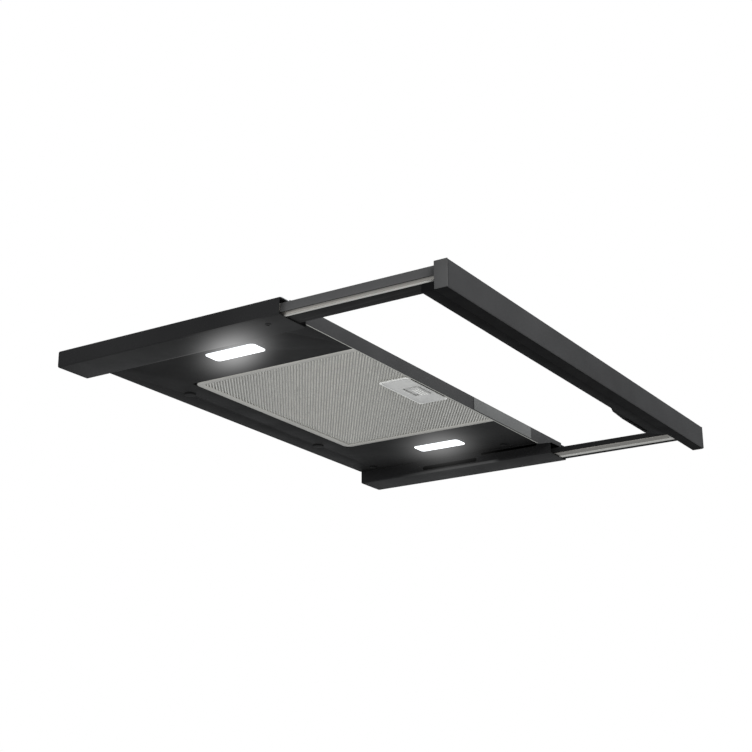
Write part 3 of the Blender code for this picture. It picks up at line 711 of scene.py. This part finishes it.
SHEET = 0.8 * MM  # thickness of the hood's sheet
BEND = 1.8 * MM  # outer radius of its folds
BAR_SHEET = 1.2 * MM
BAR_BEND = 1.4 * MM
WING_SLOTS = (  # (y, z) of the low and high corner and the end radius, in millimetres
    ((96.0, -14.1), (173.0, -9.1), 2.4),
    ((13.4, -7.0), (89.3, -4.0), 1.2),
)
WING_HOLES_Y = (0.100, 0.216)
WING_HOLE = (0.006, 0.0026, 0.0025)  # half length, half width and end radius
CUT_REACH = 0.003  # how far a cutter passes a sheet on each side
FASCIA_HIGHLIGHT_X = (-0.2565, 0.2185)
LIP_HIGHLIGHT_SPANS = {"left": (0.5, 3.8), "right": (12.2, 19.7)}  # where each painted highlight lies, in millimetres from the rail's left edge


def build_wing(label):
    """A side channel of folded sheet, slotted in its inner wall and in its top."""
    node = f"wing_{label}"
    low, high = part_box(node)
    obj = sheet_box(f"{node}_skin", low, high, [(0, -1, 0)], SHEET, BEND)
    inner = high.x if label == "left" else low.x
    middle = (low.x + high.x) / 2
    for (y0, z0), (y1, z1), radius in WING_SLOTS:
        cutter = bmesh.new()
        add_slot(cutter, (inner - CUT_REACH, y0 * MM, z0 * MM), (inner + CUT_REACH, y1 * MM, z1 * MM), "X",
                 radius * MM)
        cut_with(obj, cutter)
    cutter = bmesh.new()
    length, width, radius = WING_HOLE
    for y in WING_HOLES_Y:
        add_slot(cutter, (middle - length, y - width, high.z - CUT_REACH),
                 (middle + length, y + width, high.z + CUT_REACH), "Z", radius)
    cut_with(obj, cutter)
    shade(obj)
    finish_piece(obj, BODY_OF[node], "black_paint", [node])


def build_wing_screw():
    """The one screw head that shows on the left wing's underside."""
    low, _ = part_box("wing_left")
    screw_heads("wing_screw_left", [(low.x + 15.9 * MM, 18.8 * MM, low.z)], 3.0, 1.0, "-Z", "black_plastic")


def build_fascia_painted_highlight():
    """A bright steel strip under the front plate that paints the highlight along its lower bend."""
    low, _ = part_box("front_fascia")
    left, right = FASCIA_HIGHLIGHT_X
    hem = ((left, low.y + 0.2 * MM, low.z - 0.3 * MM), (right, low.y + 1.0 * MM, low.z + SUNK))
    block("fascia_painted_highlight", [hem], 0.15 * MM, "hood_body", "edge_highlight_steel")


def build_bar():
    """The bar's folded tube, and the dark strip along its underside."""
    low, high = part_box("front_bar")
    obj = sheet_box("front_bar_tube", low, high, [(-1, 0, 0), (1, 0, 0)], BAR_SHEET, BAR_BEND)
    finish_piece(obj, "visor", "bar_paint", ["front_bar"])
    past_end = 1.0 * MM
    strip = ((low.x - past_end, low.y + 1.2 * MM, low.z - 0.5 * MM),
             (high.x + past_end, high.y - 0.2 * MM, low.z + SUNK))
    block("bar_under_strip", [strip], 0.2 * MM, "visor", "dark_plastic")


def build_lip_highlights():
    """A bright steel strip along the lower face of each arm's rail: the rail's silver lip, brightened to
    paint its highlight.
    """
    drop = 0.25 * MM
    for label, (start, end) in LIP_HIGHLIGHT_SPANS.items():
        low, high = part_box(f"slide_rail_{label}")
        strip = ((low.x + start * MM, low.y + 0.2 * MM, low.z - drop),
                 (low.x + end * MM, high.y, low.z + drop))
        block(f"slide_lip_highlight_{label}", [strip], 0.2 * MM, "visor", "lip_highlight_steel")


def build_arm_lip():
    """The dark return flange along the outer lower edge of the right arm."""
    low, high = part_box("arm_right")
    width, thickness = 3.8 * MM, 1.1 * MM
    lip = ((high.x - 0.2 * MM, low.y, low.z), (high.x + width, high.y, low.z + thickness))
    block("arm_lip_right", [lip], 0.3 * MM, "visor", "dark_plastic")


def build_arm_screw(label):
    node = f"arm_screw_{label}"
    low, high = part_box(node)
    centre = (low + high) / 2
    radius = (high.x - low.x) / 2
    edge = 0.35 * MM
    profile = [(0.0, low.z), (radius - edge, low.z), (radius, low.z + edge), (radius, high.z), (0.0, high.z)]
    obj = spun(f"{node}_head", profile, (centre.x, centre.y, 0.0), 24)
    cut_crosses(obj, [(centre.x, centre.y, low.z)], "-Z", 0.0, 1.5 * MM, 0.35 * MM, 0.8 * MM)
    shade(obj)
    finish_piece(obj, BODY_OF[node], "slide_steel", [node])


KEY_MARKS = {  # pips on each key, as (across, along) places in millimetres
    "off": ((0.0, 0.0),),
    "speed_low": ((-2.0, 0.0),),
    "speed_mid": ((-2.0, 0.0), (0.0, 0.0)),
    "speed_high": ((-2.0, 0.0), (0.0, 0.0), (2.0, 0.0)),
    "light": ((0.0, 0.9), (-0.8, -0.5), (0.8, -0.5)),
}


def build_key(name):
    """A key with rounded edges and raised pips that tell the keys apart by touch."""
    node = f"button_{name}"
    low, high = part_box(node)
    block(f"{node}_cap", [(low, high)], 0.6 * MM, BODY_OF[node], "dark_plastic", [node])
    centre = (low + high) / 2
    bm = bmesh.new()
    radius = 0.75 * MM if name == "off" else 0.42 * MM
    dome = [(0.0, 0.22 * MM), (0.7 * radius, 0.16 * MM), (radius, 0.0), (radius, -SUNK), (0.0, -SUNK)]
    for across, along in KEY_MARKS[name]:
        turn_into(bm, dome, (centre.x + across * MM, centre.y + along * MM, low.z), 12, "-Z")
    pips = add_solid(f"{node}_pips", bm)
    shade(pips)
    finish_piece(pips, BODY_OF[node], "black_plastic")


CHIPS = ((5.0, 1.0), (3.0, 0.7), (8.0, 1.2), (3.0, 0.7), (4.0, 1.6))  # length and height in millimetres


def build_board_chips():
    """Small components on the upper face of the switch board."""
    low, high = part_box("switch_board")
    middle = (low.y + high.y) / 2
    half_width = 1.1 * MM
    boxes = []
    for i, (length, height) in enumerate(CHIPS):
        x = low.x + (4.0 + 10.0 * i) * MM
        boxes.append(((x, middle - half_width, high.z - 0.05 * MM),
                      (x + length * MM, middle + half_width, high.z + height * MM)))
    block("board_chips", boxes, 0.12 * MM, "visor", "black_plastic")


# -------- filter and latch

RIDGE_DEPTH = 0.7 * MM  # a rib's height above and below the sheet's middle
RIDGE_STEPS = 8  # strips to one rib
MESH_SHEET = 0.35 * MM


def ribbed_sheet(name, centre_z, angle):
    """A ribbed sheet that fills the filter's frame, its ribs turned by an angle."""
    low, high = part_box("filter_mesh")
    centre = (low + high) / 2
    reach = (high - low).length / 2
    count = int(2 * reach / RIDGE_PITCH) * RIDGE_STEPS
    turn = Matrix.Rotation(angle, 4, "Z")
    bm = bmesh.new()
    rows = []
    for i in range(count + 1):
        side = -reach + 2 * reach * i / count
        height = RIDGE_DEPTH * math.cos(2 * math.pi * i / RIDGE_STEPS)
        row = []
        for along in (-reach, 0.0, reach):
            point = turn @ Vector((along, side, 0.0))
            row.append(bm.verts.new((centre.x + point.x, centre.y + point.y, centre_z + height)))
        rows.append(row)
    for row, following in zip(rows, rows[1:]):
        for i in range(2):
            bm.faces.new((row[i], following[i], following[i + 1], row[i + 1]))
    for point, normal in (((low.x, 0, 0), (-1, 0, 0)), ((high.x, 0, 0), (1, 0, 0)),
                          ((0, low.y, 0), (0, -1, 0)), ((0, high.y, 0), (0, 1, 0))):
        geometry = bm.verts[:] + bm.edges[:] + bm.faces[:]
        bmesh.ops.bisect_plane(bm, geom=geometry, plane_co=point, plane_no=normal, clear_outer=True)
    obj = add_mesh(name, bm)
    thick = obj.modifiers.new("Solidify", "SOLIDIFY")
    thick.thickness = MESH_SHEET
    thick.offset = 0.0
    bake(obj)
    latch_low, latch_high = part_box("latch_housing")
    margin = 0.3 * MM
    cutter = bmesh.new()
    add_box(cutter, (latch_low.x - margin, low.y - 0.01, centre_z - 0.004),
            (latch_high.x + margin, latch_high.y + margin, centre_z + 0.004))
    cut_with(obj, cutter)
    shade(obj, 60.0)
    return obj


def build_filter():
    """Ribbed front and back layers in a rolled aluminium rim."""
    low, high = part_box("filter_frame")
    mesh_low, mesh_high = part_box("filter_mesh")
    front = ribbed_sheet("filter_mesh_front", (mesh_low.z + mesh_high.z) / 2, RIDGE_ANGLE)
    finish_piece(front, "filter", "mesh_aluminium", ["filter_mesh"])
    back = ribbed_sheet("filter_mesh_back", high.z - 2.0 * MM, -RIDGE_ANGLE)
    finish_piece(back, "filter", "back_mesh_aluminium")
    rim = 8.0 * MM
    top, bottom = high.z, low.z
    edge = 1.2 * MM
    turns = [math.radians(degrees) for degrees in (30, 60, 90)]
    profile = [(0.0, top), (0.0, bottom + edge)]
    profile += [(edge * (1 - math.cos(a)), bottom + edge * (1 - math.sin(a))) for a in turns]
    profile += [(rim - edge, bottom)]
    profile += [(rim - edge + edge * math.sin(a), bottom + edge * (1 - math.cos(a))) for a in turns]
    profile += [(rim, bottom + edge + 0.9 * MM), (rim, top)]
    obj = swept_ring("filter_frame_rim", (low.x, low.y), (high.x, high.y), 9.0 * MM, profile)
    slot = bmesh.new()
    add_box(slot, (-6.0 * MM, low.y - 0.01, 0.2 * MM), (6.0 * MM, low.y + 0.02, 2.8 * MM))
    cut_with(obj, slot)
    shade(obj, 40.0)
    finish_piece(obj, "filter", "aluminium", ["filter_frame"])


def build_latch_bezel():
    """A narrow flange round the latch that covers the cut edge of the mesh."""
    low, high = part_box("latch_housing")
    margin, corner = 1.7 * MM, 3.0 * MM
    bottom, top = low.z + 0.5 * MM, low.z + 2.2 * MM
    chamfer, width = 0.3 * MM, 2.4 * MM
    profile = [(0.0, top), (0.0, bottom + chamfer), (chamfer, bottom), (width, bottom), (width, top)]
    outer = ((low.x - margin, low.y), (high.x + margin, high.y + margin))
    obj = swept_ring("latch_bezel", *outer, corner, profile)
    shade(obj, 40.0)
    finish_piece(obj, "filter", "tab_plastic")


def build_latch_grip():
    """Finger ribs across the latch's slider."""
    low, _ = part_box("latch_slider")
    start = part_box("latch_housing")[0].y + 6.0 * MM
    reach = 11.0 * MM
    boxes = []
    for i in range(3):
        y = start + 3.2 * MM * i
        boxes.append(((-reach, y, low.z - 0.7 * MM), (reach, y + 1.4 * MM, low.z + SUNK)))
    block("latch_grip", boxes, 0.3 * MM, "latch", "tab_plastic")


# -------- air path above the pan

GUSSETS = 8
COLLAR_OUTLINE = millimetres((  # radius and height above the hood's origin
    (58.5, 92.0), (59.3, 92.0), (60.0, 91.3), (60.0, 88.6), (60.8, 88.2), (61.1, 87.3), (60.8, 86.4),
    (60.0, 86.0), (60.0, 68.0), (60.5, 66.8), (61.8, 65.9), (65.5, 65.8), (66.0, 65.3), (66.0, 64.3),
    (58.5, 64.3)))


def around(centre, radius, count, first=0.0):
    """Places spaced evenly on a level circle."""
    places = []
    for i in range(count):
        angle = first + 2 * math.pi * i / count
        places.append((centre[0] + radius * math.cos(angle), centre[1] + radius * math.sin(angle), centre[2]))
    return places


def build_collar():
    """The duct collar with its bead and foot, the gussets round it and its screws."""
    low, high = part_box("exhaust_collar")
    centre = ((low.x + high.x) / 2, (low.y + high.y) / 2)
    obj = spun("exhaust_collar_moulding", COLLAR_OUTLINE, (*centre, 0.0), 72, closed=True)
    body_piece(obj, "black_plastic", ["exhaust_collar"])
    bm = bmesh.new()
    for i in range(GUSSETS):
        turn = Matrix.Translation((*centre, 0.0)) @ Matrix.Rotation(2 * math.pi * (i + 0.5) / GUSSETS, 4, "Z")
        verts = add_box(bm, (59.8 * MM, -0.7 * MM, 65.7 * MM), (64.6 * MM, 0.7 * MM, 74.0 * MM))
        for vert in verts:
            if vert.co.x > 0.062 and vert.co.z > 0.07:  # the outer top edge, drawn in to make a slope
                vert.co.x = 0.0606
        bmesh.ops.transform(bm, matrix=turn, verts=verts)
    body_piece(add_mesh("collar_gussets", bm), "black_plastic")
    screw_heads("collar_screws", around((*centre, 65.8 * MM), 63.4 * MM, 4), 2.1, 1.3)


FLAP_KNUCKLES = {"left": (-40.0, 4.0, 31.0), "right": (-26.0, 17.0, 44.0)}  # along the pin, in millimetres
FLAP_RIBS = (-34.0, -17.0, 0.0, 17.0, 34.0)  # along the pin, in millimetres
FLAP_RIB_RADIUS = 53.0  # how far from the pin's middle the ribs reach, in millimetres


def build_flap_details(label):
    """Knuckles round the hinge pin and stiffening ribs on the upper face of one flap."""
    low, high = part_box("damper_pin")
    x, y, z = (low + high) / 2
    side = -1 if label == "left" else 1
    bm = bmesh.new()
    length = 9.0 * MM
    ring = [(1.7 * MM, length), (2.5 * MM, length), (2.5 * MM, 0.0), (1.7 * MM, 0.0)]
    for offset in FLAP_KNUCKLES[label]:
        start = y + offset * MM
        turn_into(bm, ring, (x, start, z), 20, "Y", closed=True)
        x0, x1 = sorted((x + side * 2.2 * MM, x + side * 4.2 * MM))
        add_box(bm, (x0, start, z - 0.6 * MM), (x1, start + length, z + 0.6 * MM))
    for offset in FLAP_RIBS:
        end = math.sqrt(FLAP_RIB_RADIUS ** 2 - offset ** 2)
        x0, x1 = sorted((x + side * 14.0 * MM, x + side * end * MM))
        add_box(bm, (x0, y + (offset - 0.6) * MM, z + 0.5 * MM), (x1, y + (offset + 0.6) * MM, z + 1.9 * MM))
    obj = add_solid(f"damper_flap_{label}_ribs", bm)
    round_edges(obj, 0.2 * MM)
    finish_piece(obj, f"flap_{label}", "black_plastic")


def build_sheet_details():
    """Pressed beads, a seam flange, the inlet's rolled lip and the screws of the sheet housing."""
    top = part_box("plenum")[1].z
    bead = 8 * MM  # a bead's width
    out = 1.1 * MM  # how far it stands out
    beads = [((-0.225, y, top - SUNK), (0.225, y + bead, top + out)) for y in (0.028, 0.056)]
    beads += [((x, 0.098, top - SUNK), (x + bead, 0.250, top + out)) for x in (-0.238, 0.230)]
    body_block("plenum_beads", beads, 1.0 * MM, "galvanised")

    low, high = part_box("blower_housing")
    z0 = low.z + 18 * MM
    z1 = z0 + bead
    beads = [((-0.140, low.y - out, z0), (0.140, low.y + SUNK, z1)),
             ((low.x - out, 0.105, z0), (low.x + SUNK, 0.250, z1)),
             ((high.x - SUNK, 0.105, z0), (high.x + out, 0.250, z1)),
             ((-0.140, high.y - SUNK, z0), (0.140, high.y + out, z1))]
    body_block("housing_beads", beads, 1.0 * MM, "galvanised")
    lip = 5.0 * MM
    floor = top + 0.02 * MM
    seam = [((low.x - lip, low.y - 9 * MM, floor), (high.x + lip, low.y, floor + SHEET)),
            ((low.x - lip, low.y + 0.01 * MM, floor), (low.x, high.y, floor + SHEET)),
            ((high.x, low.y + 0.01 * MM, floor), (high.x + lip, high.y, floor + SHEET))]
    body_block("housing_seam", seam, 0.2 * MM, "galvanised")
    screw_heads("seam_screws", [(0.075 * i, low.y - 4.5 * MM, floor + SHEET) for i in range(-2, 3)])

    low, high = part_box("blower_cover")
    inset = 6.0 * MM
    ends = (low.x + inset, high.x - inset)
    xs = [ends[0] + (ends[1] - ends[0]) * i / 4 for i in range(5)]
    places = [(x, low.y + inset, high.z) for x in xs] + [(x, 0.178, high.z) for x in ends]
    collar_x, clearance = 0.04, 0.07  # the rear row leaves room for the duct collar's foot
    places += [(x, high.y - inset, high.z) for x in xs if abs(x - collar_x) > clearance]
    screw_heads("cover_screws", places)

    cover_top = high.z
    low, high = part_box("impeller")
    x, y = (low.x + high.x) / 2, (low.y + high.y) / 2
    boss = millimetres(((0.0, 1.2), (33.0, 1.2), (34.6, 0.8), (36.0, 0.0), (36.0, -0.1), (0.0, -0.1)))
    body_piece(spun("motor_boss", boss, (x, y, cover_top), 56), "galvanised")
    screw_heads("motor_screws", around((x, y, cover_top + 1.2 * MM), 24.0 * MM, 4, math.pi / 4), 3.8, 2.2)
    throat = millimetres(((49.0, 13.2), (49.9, 13.2), (49.9, 10.6), (50.8, 9.0), (53.6, 8.4), (53.6, 7.6),
                          (50.4, 8.2), (49.0, 10.4)))
    body_piece(spun("inlet_lip", throat, (x, y, 0.0), 64, closed=True), "galvanised")


# -------- electrics

def build_gland():
    """Cable gland: hexagon, ribbed body and a domed cap, open through the middle."""
    low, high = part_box("cable_gland")
    place = ((low.x + high.x) / 2, low.y, (low.z + high.z) / 2)
    hexagon = millimetres(((4.0, 5.0), (7.4, 5.0), (8.0, 4.4), (8.0, 0.6), (7.4, 0.0), (4.0, 0.0)))
    cap = millimetres(((4.0, 18.0), (5.0, 18.0), (6.0, 16.6), (6.5, 14.0), (6.5, 12.2), (7.6, 11.6),
                       (7.6, 6.4), (6.6, 5.9), (6.6, 4.9), (4.0, 4.9)))
    rib = millimetres(((7.4, -0.35, 6.9), (7.95, 0.35, 11.2)))
    ribs = 12
    bm = bmesh.new()
    turn_into(bm, hexagon, place, 6, "Y", True)
    turn_into(bm, cap, place, 32, "Y", True)
    for i in range(ribs):
        turn = Matrix.Translation(place) @ AXES["Y"] @ Matrix.Rotation(2 * math.pi * i / ribs, 4, "Z")
        add_box(bm, *rib, turn)
    obj = add_solid("cable_gland_moulding", bm)
    shade(obj)
    body_piece(obj, "black_plastic", ["cable_gland"])


def build_capacitor():
    """Sleeved can with a crimped end, two blade terminals and a steel strap."""
    low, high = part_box("run_capacitor")
    x, z = (low.x + high.x) / 2, (low.z + high.z) / 2
    outline = millimetres(((0.0, 50.0), (10.6, 50.0), (11.6, 49.6), (12.0, 48.6), (12.0, 6.4), (11.3, 5.6),
                           (11.3, 4.8), (12.0, 4.0), (12.0, 1.0), (11.4, 0.2), (10.6, 1.0), (0.0, 1.0)))
    body_piece(spun("run_capacitor_can", outline, (x, low.y, z), 40, "Y"), "label_blue", ["run_capacitor"])
    blades = [((x + side * 4.5 * MM - 0.4 * MM, low.y - 6 * MM, z - 3 * MM),
               (x + side * 4.5 * MM + 0.4 * MM, low.y + 1.2 * MM, z + 3 * MM)) for side in (-1, 1)]
    body_block("capacitor_blades", blades, 0.15 * MM, "slide_steel")
    y = low.y + 20 * MM
    ring = millimetres(((12.1, 12.0), (12.9, 12.0), (12.9, 0.0), (12.1, 0.0)))
    body_piece(spun("capacitor_strap", ring, (x, y, z), 40, "Y", True), "slide_steel")
    top = low.z + SHEET
    feet = [sorted((x + side * 11.0 * MM, x + side * 20.0 * MM)) for side in (-1, 1)]
    body_block("capacitor_feet", [((x0, y, low.z), (x1, y + 12 * MM, top)) for x0, x1 in feet], 0.2 * MM,
               "slide_steel")
    screw_heads("capacitor_screws", [(x + side * 16 * MM, y + 6 * MM, top) for side in (-1, 1)], 2.6, 1.6)


def build_electric_details():
    """Screws, ribs and a blank rating plate on the terminal box and the lamp driver."""
    low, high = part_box("terminal_cover")
    middle = (low.x + high.x) / 2
    screw_heads("terminal_screws", [(middle, y, high.z) for y in (low.y + 7 * MM, high.y - 7 * MM)])
    ribs = [((low.x + 6 * MM, low.y + (18 + 6 * i) * MM, high.z - SUNK),
             (high.x - 6 * MM, low.y + (20 + 6 * i) * MM, high.z + 0.7 * MM)) for i in range(9)]
    body_block("terminal_ribs", ribs, 0.25 * MM, "white_plastic")
    low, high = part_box("lamp_driver")
    plate = ((low.x + 5 * MM, low.y + 8 * MM, high.z - SUNK),
             (high.x - 5 * MM, high.y - 8 * MM, high.z + 0.3 * MM))
    body_block("driver_plate", [plate], 0.1 * MM, "grey_plastic")
    middle = (low.x + high.x) / 2
    lug_top = low.z + 2.2 * MM
    lugs = [((middle - 6 * MM, low.y - 9 * MM, low.z), (middle + 6 * MM, low.y + 1 * MM, lug_top)),
            ((middle - 6 * MM, high.y - 1 * MM, low.z), (middle + 6 * MM, high.y + 7 * MM, lug_top))]
    body_block("driver_lugs", lugs, 0.4 * MM, "white_plastic")
    places = [(middle, y, lug_top) for y in (low.y - 4.5 * MM, high.y + 3.4 * MM)]
    screw_heads("driver_screws", places, 2.6, 1.5)


# -------- fixings

def build_fixing(node, recess=True):
    """A domed screw head with a cross recess, or a plain domed plug, standing for a CAD fixing."""
    low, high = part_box(node)
    centre = (low + high) / 2
    radius = (high.x - low.x) / 2
    bottom, top = low.z, high.z
    height = 1.8 * MM if recess else 1.2 * MM
    shank = 2.0 * MM
    dome = arc((radius - 0.7 * height, 0.0), 0.7 * height, 0, 90, 4)
    profile = [(0.0, top), (shank, top), (shank, bottom + height), (radius, bottom + height)]
    profile += [(r, bottom + 0.75 * height - z) for r, z in dome]
    profile += [(0.35 * radius, bottom), (0.0, bottom)]
    obj = spun(f"{node}_head", profile, (centre.x, centre.y, 0.0), 32)
    if recess:
        cut_crosses(obj, [(centre.x, centre.y, bottom)], "-Z", 0.0, 1.9 * MM, 0.45 * MM, 0.9 * MM)
    shade(obj)
    finish_piece(obj, BODY_OF[node], "pan_paint", [node])


MATERIALS = make_materials()


def main():
    make_camera()
    make_stage()
    build_filter()
    build_latch_bezel()
    build_latch_grip()
    for label in ("left", "right"):
        build_wing(label)
        build_arm_screw(label)
        build_flap_details(label)
    build_wing_screw()
    build_fascia_painted_highlight()
    build_bar()
    build_lip_highlights()
    build_arm_lip()
    for name in KEY_MARKS:
        build_key(name)
    build_board_chips()
    build_collar()
    build_sheet_details()
    build_gland()
    build_capacitor()
    build_electric_details()
    for node in sorted(n for n in frame["nodes"] if n.startswith(("pan_screw", "pan_plug"))):
        build_fixing(node, node.startswith("pan_screw"))
    for node in sorted(EDGE_WIDTH):
        refined(node, EDGE_WIDTH[node])


main()
bpy.context.scene.view_settings.view_transform = "Standard"
